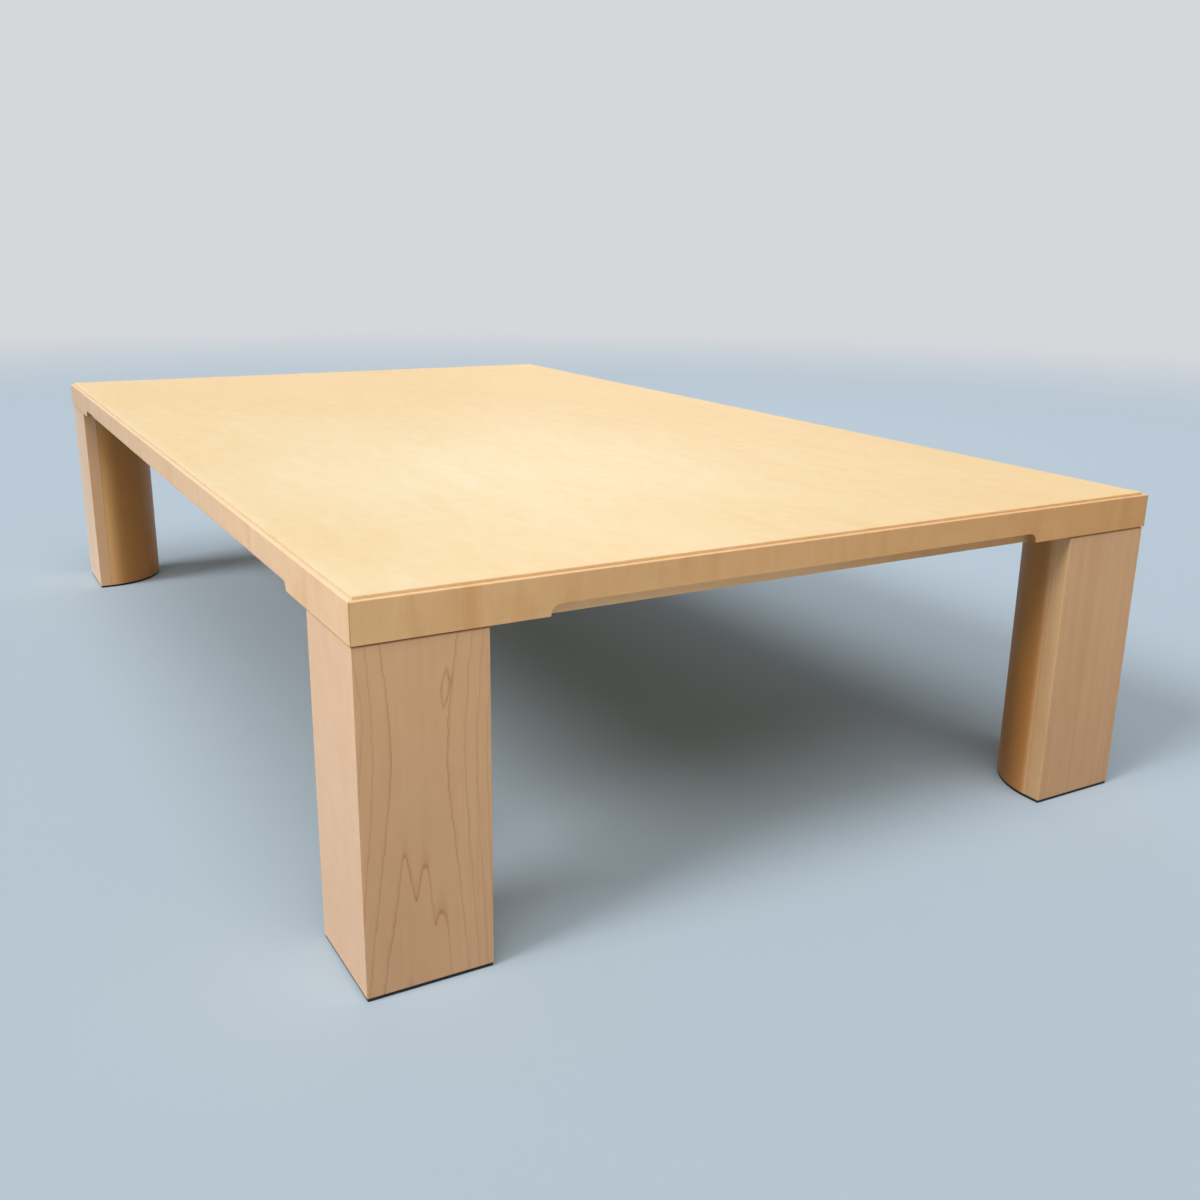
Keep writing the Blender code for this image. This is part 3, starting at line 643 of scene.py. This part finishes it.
class FLOORTABLE_OT_edge_boards(bpy.types.Operator):
    """Model the four mitred edge boards with their stopped rebates"""

    bl_idname = "floor_table.edge_boards"
    bl_label = "Edge Boards"

    def execute(self, context):
        sizes = context.scene.table_shape
        colours = context.scene.table_colours
        for number, (side, turn) in enumerate(SIDES.items()):
            along_x = turn % 180 == 0
            length, out = (LENGTH, WIDTH / 2) if along_x else (WIDTH, LENGTH / 2)
            place = (Matrix.Translation(TABLE_MIDDLE) @ Matrix.Rotation(math.radians(turn), 4, "Z")
                     @ Matrix.Translation((0, -out, EDGE_LOW.z)))
            shape = loft(self.rings(sizes, length))
            half = length / 2 * MILLIMETRES
            if along_x:
                grain, colour, painted_shade = GRAIN_ALONG_X, colours.edge, (half, -half, colours.long_far_shade)
            else:
                grain, colour, painted_shade = GRAIN_ALONG_Y, colours.edge_end_tone_and_shade, (-half, half, colours.short_back_shade)
            marks = partial(self.marked, colours=colours, sizes=sizes, side=side, length=length, out=out,
                            turn=grain)
            material = maple("edge_maple_" + side, colour, colours.figure, grain, EDGE_SHIFT * number,
                             cross_bands, painted_shade, marks)
            piece_from(shape, place, "mitred_edge_" + side, material, "edge_board_" + side)
        return {"FINISHED"}

    def marked(self, nodes, colour, colours, sizes, side, length, out, turn):
        """A paler ledge, painted shade at the rebate's ends, and on the short boards painted light in the
        front of the rebates, painted shade along the lower edge and dark lines at the mitres.
        """
        along, across, height = nodes.grain(turn, TABLE_MIDDLE)
        reach = along.alone("ABSOLUTE")
        sunk = out * MILLIMETRES - across.alone("ABSOLUTE")
        end = length / 2 * MILLIMETRES
        stop = end - sizes.rebate_stop * MILLIMETRES
        rise = sizes.rebate_height * MILLIMETRES
        low = EDGE_LOW.z * MILLIMETRES
        top = EDGE_HIGH.z * MILLIMETRES
        middle = (low + top) / 2
        on_short_side = length < LENGTH
        inside = nodes.step(sunk, 0.3, 0.8) * (1 - nodes.step(height, middle - 1, middle))
        # Painted shade in the recess at the rebate's ends.
        stain_and_shade = nodes.step(reach, stop - 1.6 * rise, stop - 0.3 * rise) * inside * 0.4
        if side == "right":
            colour = nodes.tint(nodes.hump(along, -352.0, 9.0), colour, colours.warm_band)
        ledge = nodes.step(height, top - 0.9, top - 0.4) * (0.3 if on_short_side else 0.6)
        colour = nodes.blend(ledge, colour, colours.ledge)
        if on_short_side:
            # Painted light in the front half of the short rebates.
            front = 1 - nodes.step(along, -60.0, 160.0)
            colour = nodes.blend(inside * front * 0.8, colour, colours.rebate)
            mitre = nodes.step(reach, end - 1.1, end - 0.7) * 0.35
            # Painted shade along the short boards' lower edge.
            lower_edge_shade = (1 - nodes.step(height, low + 0.2, low + 0.8)) * 0.12
            stain_and_shade = stain_and_shade * (1 - front * 0.6) + (mitre + lower_edge_shade) * (1 - inside)
        return nodes.blend(stain_and_shade, colour, colours.stain_and_shade), stain_and_shade

    def section(self, sizes, cut):
        """Section of a board with its rebate cut to a height: how far in from the face, and how high."""
        height = EDGE_HIGH.z - EDGE_LOW.z
        thickness = EDGE_HIGH.y - EDGE_LOW.y
        ledge = PANEL_LOW.y - TABLE_LOW.y - SEAM
        seat = PANEL_LOW.z - EDGE_LOW.z - SEAM
        lip = SHEET_LOW.y - TABLE_LOW.y - SEAM
        lip_top = SHEET_HIGH.z - EDGE_LOW.z + SEAM
        small, large, steps = sizes.rebate_arris, sizes.edge_arris, sizes.arris_steps
        lower = arc((small, cut + small), small, 1.5 * math.pi, math.pi, steps)
        upper = arc((large, height - large), large, math.pi, 0.5 * math.pi, steps)
        return [*lower, *upper, (ledge, height), (ledge, seat), (thickness, seat), (thickness, lip_top),
                (lip, lip_top), (lip, 0.0), (sizes.rebate_depth, 0.0), (sizes.rebate_depth, cut)]

    def rings(self, sizes, length):
        """Sections along X with the face at Y = 0: round a mitred corner, into the rebate and out of it."""
        half = length / 2
        rounding = sizes.edge_arris
        right_end = []
        for _, lean in arc((0, 0), 1.0, 0.0, 0.25 * math.pi, sizes.arris_steps):
            set_in = rounding * (1 - math.sqrt(1 - lean * lean))
            reach = half - rounding * (1 - lean)
            ring = []
            for y, z in self.section(sizes, 0.0):
                inwards = max(y, set_in)
                ring.append((min(reach, half - inwards - MITRE_GAP), inwards, z))
            right_end.append(ring)
        rise = sizes.rebate_height
        stop = half - sizes.rebate_stop
        run_out = [[(x, y, z) for y, z in self.section(sizes, cut)]
                   for x, cut in arc((stop - rise, 0.0), rise, 0.5 * math.pi, 0.0, sizes.rebate_steps)]
        right_half = run_out + right_end
        left_half = [[(-x, y, z) for x, y, z in ring] for ring in reversed(right_half)]
        return left_half + right_half


class FLOORTABLE_OT_leg_boards(bpy.types.Operator):
    """Model the mitred outer boards of the legs"""

    bl_idname = "floor_table.leg_boards"
    bl_label = "Leg Boards"

    def execute(self, context):
        sizes = context.scene.table_shape
        colours = context.scene.table_colours
        for number, (corner, turn) in enumerate(CORNERS.items()):
            for crossed in (False, True):
                on_end = crossed == (turn % 180 == 0)
                face = "end" if on_end else "long_side"
                stand = corner_frame(turn) @ SWAP_X_AND_Y if crossed else corner_frame(turn)
                figure = straight_stripes if on_end else plain_grain
                place = LEG_SHIFT * number
                # Strength of the dark line at the leg's top: a dark joint with painted shade over it.
                joint_stain_and_shade = 0.65
                if corner == "front_right" and on_end:
                    figure = cathedral_lines
                    place = stand @ Vector((0, 0, LEG_HIGH.z))
                    joint_stain_and_shade = 0.85
                colour, painted_shade = self.tones(colours, corner, on_end)
                marks = partial(self.marked, colours=colours, sizes=sizes, on_end=on_end,
                                joint_stain_and_shade=joint_stain_and_shade)
                material = maple(f"leg_maple_{corner}_{face}", colour, colours.leg_figure, GRAIN_UPRIGHT,
                                 place, figure, painted_shade, marks)
                piece_from(loft(self.rings(sizes)), stand, f"leg_face_{corner}_{face}", material,
                           f"leg_{corner}_{face}_board")
        return {"FINISHED"}

    def marked(self, nodes, colour, colours, sizes, on_end, joint_stain_and_shade):
        """A dark line at the leg's top, partly a dark joint and partly painted shade under the top, and a
        tone of its own on the narrow inner edge, with painted shadow on its upper part on the long boards.
        """
        height, across, depth = nodes.grain(GRAIN_UPRIGHT, TABLE_MIDDLE)
        reach, side = (across, WIDTH) if on_end else (depth, LENGTH)
        edge = (side / 2 - LEG_INSET - LEG_SIZE) * MILLIMETRES
        strip = 1 - nodes.step(reach.alone("ABSOLUTE"), edge + 0.2, edge + 0.6)
        colour = nodes.tint(strip, colour, colours.end_strip if on_end else colours.leg_strip)
        if not on_end:
            # Painted shadow from the top: the inner edge stays darker above and paler below.
            low = 1 - nodes.step(height, 190.0, 290.0)
            colour = nodes.blend(strip * low * 0.9, colour, colours.strip_below_shadow)
        # Painted shade under the top, over a dark joint: the chamfer at the leg's top is darkened.
        joint = (LEG_HIGH.z - sizes.leg_chamfer * (0.52 if on_end else 0.9)) * MILLIMETRES
        stain_and_shade = nodes.step(height, joint - 0.2, joint + 0.2) * joint_stain_and_shade
        return nodes.blend(stain_and_shade, colour, colours.stain_and_shade), stain_and_shade

    def tones(self, colours, corner, on_end):
        """Colour of a board, and its painted shade along the height."""
        if on_end:
            colour = colours.leg_end_tone_and_shade if corner.startswith("front") else colours.leg_end_back_shaded
            return colour, (FADE_TOP, FADE_FOOT, colours.leg_end_foot_shade)
        if corner.endswith("left"):
            return colours.leg_left, (FADE_FOOT, FADE_TOP, colours.left_top_shadow)
        return colours.leg, (FADE_TOP, FADE_FOOT, colours.leg_foot_shade)

    def rings(self, sizes):
        """Plan of a board along X at the heights where it changes, mitred at its outer corner."""
        radius = sizes.leg_arris
        trim = math.asin(SEAM / (2 * radius))
        mitre = arc((radius, radius), radius, 1.25 * math.pi + trim, 1.5 * math.pi, sizes.arris_steps)
        far = arc((LEG_SIZE - radius, radius), radius, 1.5 * math.pi, 2 * math.pi, sizes.arris_steps)
        plan = [*mitre, *far, (LEG_SIZE, LEG_BOARD), (LEG_BOARD + MITRE_GAP, LEG_BOARD)]
        levels = ((LEG_LOW.z, sizes.foot_chamfer), (LEG_LOW.z + sizes.foot_chamfer, 0.0),
                  (LEG_HIGH.z - sizes.leg_chamfer, 0.0), (LEG_HIGH.z, sizes.leg_chamfer))
        rings = []
        for height, set_in in levels:
            start, end = (set_in + MITRE_GAP, LEG_SIZE - set_in) if set_in else (0.0, LEG_SIZE)
            rings.append([(min(max(x, start), end), max(y, set_in), height) for x, y in plan])
        return rings


class FLOORTABLE_OT_bent_panels(bpy.types.Operator):
    """Spin the bent inner panels of the legs"""

    bl_idname = "floor_table.bent_panels"
    bl_label = "Bent Panels"

    def execute(self, context):
        sizes = context.scene.table_shape
        colours = context.scene.table_colours
        outer = LEG_SIZE - BENT_CENTRE
        inner = outer - sizes.bent_panel
        foot, top = BENT_LOW.z, BENT_HIGH.z
        section = ((inner, foot), (outer - sizes.foot_chamfer, foot), (outer, foot + sizes.foot_chamfer),
                   (outer, top - sizes.leg_chamfer), (outer - sizes.leg_chamfer, top), (inner, top))
        for number, (corner, turn) in enumerate(CORNERS.items()):
            shape = bmesh.new()
            corners = [shape.verts.new((BENT_CENTRE + radius, BENT_CENTRE, height))
                       for radius, height in section]
            face = shape.faces.new(corners)
            bmesh.ops.spin(shape, geom=[*corners, *shape.edges, face], cent=(BENT_CENTRE, BENT_CENTRE, 0),
                           axis=(0, 0, 1), angle=math.pi / 2, steps=sizes.bent_steps)
            painted_shade = (FADE_BENT_FOOT, FADE_TOP, colours.bent_top_shadow)
            marks = partial(self.marked, colours=colours, corner=corner)
            material = maple("bent_maple_" + corner, colours.bent, colours.figure, GRAIN_UPRIGHT,
                             BENT_SHIFT * number, straight_stripes, painted_shade, marks)
            piece_from(shape, corner_frame(turn), "leg_round_" + corner, material,
                       f"leg_{corner}_bent_panel")
        return {"FINISHED"}

    def marked(self, nodes, colour, colours, corner):
        """Painted light at the starts of the bend: wide and strongest low down at the long side, narrow at
        the end; painted shade at the foot of the back legs' bends.
        """
        height, across, depth = nodes.grain(GRAIN_UPRIGHT, TABLE_MIDDLE)
        start = (WIDTH / 2 - LEG_INSET - BENT_CENTRE) * MILLIMETRES
        # Painted light where the bend starts beside the long board, strongest low down.
        beside = nodes.hump(start - across.alone("ABSOLUTE"), 0.0, 17.0)
        beside = beside * (1 - nodes.step(height, 120.0, 300.0) * 0.75)
        colour = nodes.blend(beside, colour, colours.bent_start_light)
        start = (LENGTH / 2 - LEG_INSET - BENT_CENTRE) * MILLIMETRES
        away = start - depth.alone("ABSOLUTE")
        # Painted light: the narrow start of the bend beside the end board takes that board's colour.
        colour = nodes.blend(nodes.hump(away, 0.0, 6.0) * 0.7, colour, colours.leg_end_back_shaded)
        if corner.startswith("back"):
            # Painted shade at the foot of the back legs' bends.
            low = nodes.hump(away, 42.0, 24.0) * (1 - nodes.step(height, 20.0, 180.0))
            colour = nodes.tint(low, colour, colours.bent_foot_shade)
        return colour, 0.0


class FLOORTABLE_OT_foot_pads(bpy.types.Operator):
    """Model the thin rubber pads under the legs"""

    bl_idname = "floor_table.foot_pads"
    bl_label = "Foot Pads"

    def execute(self, context):
        sizes = context.scene.table_shape
        material = self.rubber(context.scene.table_colours)
        far = LEG_SIZE - PAD_INSET
        inner_side = arc((BENT_CENTRE, BENT_CENTRE), far - BENT_CENTRE, 0.0, 0.5 * math.pi,
                         sizes.bent_steps)
        plan = [(PAD_INSET, PAD_INSET), (far, PAD_INSET), *inner_side, (PAD_INSET, far)]
        for corner, turn in CORNERS.items():
            shape = loft([[(x, y, height) for x, y in plan] for height in (PAD_LOW.z, PAD_HIGH.z)])
            level = [edge for edge in shape.edges
                     if abs(edge.verts[0].co.z - edge.verts[1].co.z) < MERGE_DISTANCE]
            round_edges(shape, level, sizes.pad_arris, PAD_ARRIS_STEPS)
            piece_from(shape, corner_frame(turn), "rubber_foot_" + corner, material,
                       "foot_pad_" + corner)
        return {"FINISHED"}

    def rubber(self, colours):
        """Matte black rubber with a fine dusty grain."""
        material, nodes = start_finish("black_rubber")
        place = nodes.grain(GRAIN_ALONG_X, (0, 0, 0))
        fine = nodes.noise(place, (0.5, 0.5, 0.5))
        dust = nodes.noise(place, (24, 24, 24), detail=3)
        share = fine * 0.5 + dust * 0.6 + 0.3
        dusty = [min(1.0, channel * 2.4 + 0.006) for channel in colours.rubber]
        colour = nodes.blend(share.clamped(), colours.rubber, dusty)
        end_finish(nodes, colour, 0.82 + fine * 0.15, relief=fine, depth=0.00006)
        return material


class FLOORTABLE_OT_underside(bpy.types.Operator):
    """Finish the plywood sheet under the top"""

    bl_idname = "floor_table.underside"
    bl_label = "Underside Sheet"

    def execute(self, context):
        colours = context.scene.table_colours
        material, nodes = start_finish("sealed_plywood")
        wood = nodes.grain(GRAIN_ALONG_X, (0.2, 0.1, 0.0))
        wander = nodes.noise(wood, (330, 60, 60), detail=3, distortion=0.6)
        rings = wood[1] / 34 + wander * 5.0
        shade, line = growth_lines(nodes, rings, line_share=0.10, shade_share=0.6)
        streak = nodes.noise(wood, (30, 1.1, 1.1), detail=3, roughness=0.6)
        share = shade * 0.32 + line * 0.22 + streak * 0.5 + 0.2
        colour = nodes.blend(share.clamped(), colours.plywood, darker(colours.plywood, 0.72))
        end_finish(nodes, colour, 0.62 + streak * 0.2, relief=streak, depth=0.00005, specular=0.3)
        dress("underside_sheet", material)
        return {"FINISHED"}


class FLOORTABLE_OT_core(bpy.types.Operator):
    """Finish the softwood frame and blocks inside the top and the legs"""

    bl_idname = "floor_table.core"
    bl_label = "Core Frame"

    def execute(self, context):
        colours = context.scene.table_colours
        along_x = self.softwood("core_softwood_along", colours, GRAIN_ALONG_X)
        along_y = self.softwood("core_softwood_across", colours, GRAIN_ALONG_Y)
        for node in sorted(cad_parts):
            if node.startswith("core_batten") or node in ("core_rail_left", "core_rail_right"):
                dress(node, along_y)
            elif node.startswith(("core_rail", "corner_block")) or node.endswith("_block"):
                dress(node, along_x)
        return {"FINISHED"}

    def softwood(self, name, colours, turn):
        """Planed softwood with soft early wood and darker rings."""
        material, nodes = start_finish(name)
        wood = nodes.grain(turn, (0.11, 0.03, 0.27))
        wander = nodes.noise(wood, (180, 30, 30), distortion=0.3)
        rings = wood[1] / 5.5 + wood[2] / 8 + wander * 2.0
        shade, line = growth_lines(nodes, rings, line_share=0.12, shade_share=0.7)
        streak = nodes.noise(wood, (24, 0.9, 0.9))
        share = shade * 0.45 + line * 0.2 + streak * 0.4 + 0.08
        colour = nodes.blend(share.clamped(), colours.softwood, colours.softwood_deep)
        relief = streak + shade * 0.4
        end_finish(nodes, colour, 0.72 + streak * 0.2, relief, depth=0.00008, specular=0.25)
        return material


class FLOORTABLE_OT_fixings(bpy.types.Operator):
    """Finish the leg bolts, their inserts and the dowels"""

    bl_idname = "floor_table.fixings"
    bl_label = "Leg Fixings"

    def execute(self, context):
        colours = context.scene.table_colours
        finishes = {"leg_bolt": self.zinc("zinc_plated_bolt", colours, 0.34),
                    "threaded_insert": self.zinc("zinc_insert", colours, 0.42),
                    "dowel": self.beech(colours)}
        for node in sorted(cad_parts):
            for start, material in finishes.items():
                if node.startswith(start):
                    dress(node, material)
        return {"FINISHED"}

    def zinc(self, name, colours, roughness):
        """Zinc plating with a cloudy bloom and fine turning marks."""
        material, nodes = start_finish(name)
        place = nodes.grain(GRAIN_ALONG_X, (0, 0, 0))
        bloom = nodes.noise(place, (4, 4, 4), detail=3)
        marks = nodes.noise(place, (9, 9, 0.25), detail=1)
        share = bloom * 0.8 + 0.4
        colour = nodes.blend(share.clamped(), colours.zinc, darker(colours.zinc, 0.78))
        roughness = roughness + bloom * 0.2 + marks * 0.08
        end_finish(nodes, colour, roughness, relief=marks, depth=0.00002, metallic=1.0)
        return material

    def beech(self, colours):
        """Raw beech with short upright flecks."""
        material, nodes = start_finish("raw_beech")
        wood = nodes.grain(GRAIN_UPRIGHT, (0, 0, 0))
        streak = nodes.noise(wood, (18, 0.8, 0.8))
        fleck = nodes.step(nodes.noise(wood, (2.2, 0.35, 0.35), detail=1), 0.1, 0.25)
        share = streak * 0.5 + fleck * 0.35 + 0.2
        colour = nodes.blend(share.clamped(), colours.beech, colours.beech_fleck)
        end_finish(nodes, colour, 0.68 + streak * 0.15, relief=streak, depth=0.00005, specular=0.3)
        return material


class FLOORTABLE_OT_stage(bpy.types.Operator):
    """Set the floor, the backdrop, the light and the camera"""

    bl_idname = "floor_table.stage"
    bl_label = "Stage"

    def execute(self, context):
        settings = context.scene.table_stage
        self.floor(context, settings)
        self.backdrop(context, settings)
        self.soft_light(context, "key", settings.key_strength, settings.key_spread, settings.key_from)
        self.soft_light(context, "front", settings.front_strength, settings.front_spread,
                        settings.front_from)
        self.sheen_lamp(context, settings)
        self.camera(context, settings)
        context.scene.view_settings.view_transform = "Standard"
        return {"FINISHED"}

    def floor(self, context, settings):
        """A pale floor that fades out well away from the table."""
        shape = bmesh.new()
        bmesh.ops.create_circle(shape, cap_ends=True, segments=FLOOR_SEGMENTS,
                                radius=settings.floor_radius)
        bmesh.ops.translate(shape, vec=(0, 0, TABLE_LOW.z), verts=shape.verts)
        mesh = bpy.data.meshes.new("floor")
        shape.to_mesh(mesh)
        shape.free()
        material, nodes = start_finish("pale_floor")
        coordinates = nodes.node("TexCoord").outputs["Object"]
        reach = nodes.value("VectorMath", {"operation": "LENGTH"}, {0: coordinates}, output=1)
        faded = nodes.step(reach / settings.floor_radius, *FLOOR_FADE)
        sockets = {"Base Color": opaque(settings.floor), "Roughness": 0.75, "Specular IOR Level": 0.2}
        shader = nodes.node("BsdfPrincipled", None, sockets)
        clear = nodes.node("BsdfTransparent")
        mixed = nodes.node("MixShader", None, {0: faded, 1: shader.outputs[0], 2: clear.outputs[0]})
        nodes.node("OutputMaterial", None, {"Surface": mixed.outputs[0]})
        mesh.materials.append(material)
        floor = bpy.data.objects.new("floor", mesh)
        context.scene.collection.objects.link(floor)

    def backdrop(self, context, settings):
        """A pale backdrop for the camera and for gloss, and even light for the rest."""
        world = bpy.data.worlds.new("studio")
        world.use_nodes = True
        context.scene.world = world
        nodes = Nodes(world.node_tree)
        path = nodes.node("LightPath")
        seen = Value(nodes, path.outputs["Is Camera Ray"])
        for ray in ("Is Glossy Ray", "Is Transmission Ray"):
            seen = seen.math("MAXIMUM", Value(nodes, path.outputs[ray]))
        colour = nodes.blend(seen, settings.fill, settings.backdrop)
        background = nodes.node("Background", None, {"Color": colour, "Strength": 1.0})
        nodes.node("OutputWorld", None, {"Surface": background.outputs[0]})

    def hang(self, context, data, comes_from):
        """Put a lamp in the scene, with its light coming from a direction."""
        lamp = bpy.data.objects.new(data.name, data)
        lamp.rotation_euler = Vector(comes_from).to_track_quat("Z", "Y").to_euler()
        context.scene.collection.objects.link(lamp)
        return lamp

    def soft_light(self, context, name, strength, spread, comes_from):
        """A wide soft light from one direction."""
        data = bpy.data.lights.new(name, "SUN")
        data.angle = spread
        data.energy = strength
        self.hang(context, data, comes_from)

    def sheen_lamp(self, context, settings):
        """A weak wide lamp, low behind the table, that shows as a soft gloss on the top."""
        data = bpy.data.lights.new("sheen", "AREA")
        data.size = settings.sheen_size
        data.energy = settings.sheen_power
        place = Vector(settings.sheen_place)
        lamp = self.hang(context, data, place - TABLE_MIDDLE - Vector((0, 0, TABLE_HIGH.z)))
        lamp.location = place
        lamp.visible_camera = False

    def camera(self, context, settings):
        """The camera, by its place, yaw, pitch and roll."""
        yaw, pitch, roll = settings.camera_yaw, settings.camera_pitch, settings.camera_roll
        ahead = Vector((-math.cos(yaw) * math.cos(pitch), math.sin(yaw) * math.cos(pitch),
                        -math.sin(pitch)))
        level = Vector((math.sin(yaw), math.cos(yaw), 0))
        down = ahead.cross(level)
        right = level * math.cos(roll) + down * math.sin(roll)
        up = level * math.sin(roll) - down * math.cos(roll)
        data = bpy.data.cameras.new("camera")
        data.lens = settings.camera_lens
        camera = bpy.data.objects.new("camera", data)
        turn = Matrix((right, up, -ahead)).transposed().to_4x4()
        camera.matrix_world = Matrix.Translation(settings.camera_place) @ turn
        context.scene.collection.objects.link(camera)
        context.scene.camera = camera


OPERATORS = (FLOORTABLE_OT_panel, FLOORTABLE_OT_edge_boards, FLOORTABLE_OT_leg_boards,
             FLOORTABLE_OT_bent_panels, FLOORTABLE_OT_foot_pads, FLOORTABLE_OT_underside,
             FLOORTABLE_OT_core, FLOORTABLE_OT_fixings, FLOORTABLE_OT_stage)


class FLOORTABLE_PT_sidebar(bpy.types.Panel):
    """Lists the steps that dress the table and the sizes and colours they use"""

    bl_idname = "FLOORTABLE_PT_sidebar"
    bl_label = "Floor Table"
    bl_space_type = "VIEW_3D"
    bl_region_type = "UI"
    bl_category = "Floor Table"

    def draw(self, context):
        for step in OPERATORS:
            self.layout.operator(step.bl_idname)
        for group in (context.scene.table_shape, context.scene.table_colours, context.scene.table_stage):
            column = self.layout.column(align=True)
            for name in group.__annotations__:
                column.prop(group, name)


GROUPS = (TableShape, TableColours, TableStage)


def register():
    for kind in (*GROUPS, *OPERATORS, FLOORTABLE_PT_sidebar):
        bpy.utils.register_class(kind)
    bpy.types.Scene.table_shape = PointerProperty(type=TableShape)
    bpy.types.Scene.table_colours = PointerProperty(type=TableColours)
    bpy.types.Scene.table_stage = PointerProperty(type=TableStage)


def unregister():
    del bpy.types.Scene.table_stage
    del bpy.types.Scene.table_colours
    del bpy.types.Scene.table_shape
    for kind in reversed((*GROUPS, *OPERATORS, FLOORTABLE_PT_sidebar)):
        bpy.utils.unregister_class(kind)


def main():
    """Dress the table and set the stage."""
    register()
    bpy.ops.floor_table.panel()
    bpy.ops.floor_table.edge_boards()
    bpy.ops.floor_table.leg_boards()
    bpy.ops.floor_table.bent_panels()
    bpy.ops.floor_table.foot_pads()
    bpy.ops.floor_table.underside()
    bpy.ops.floor_table.core()
    bpy.ops.floor_table.fixings()
    bpy.ops.floor_table.stage()


if __name__ == "__main__":
    main()
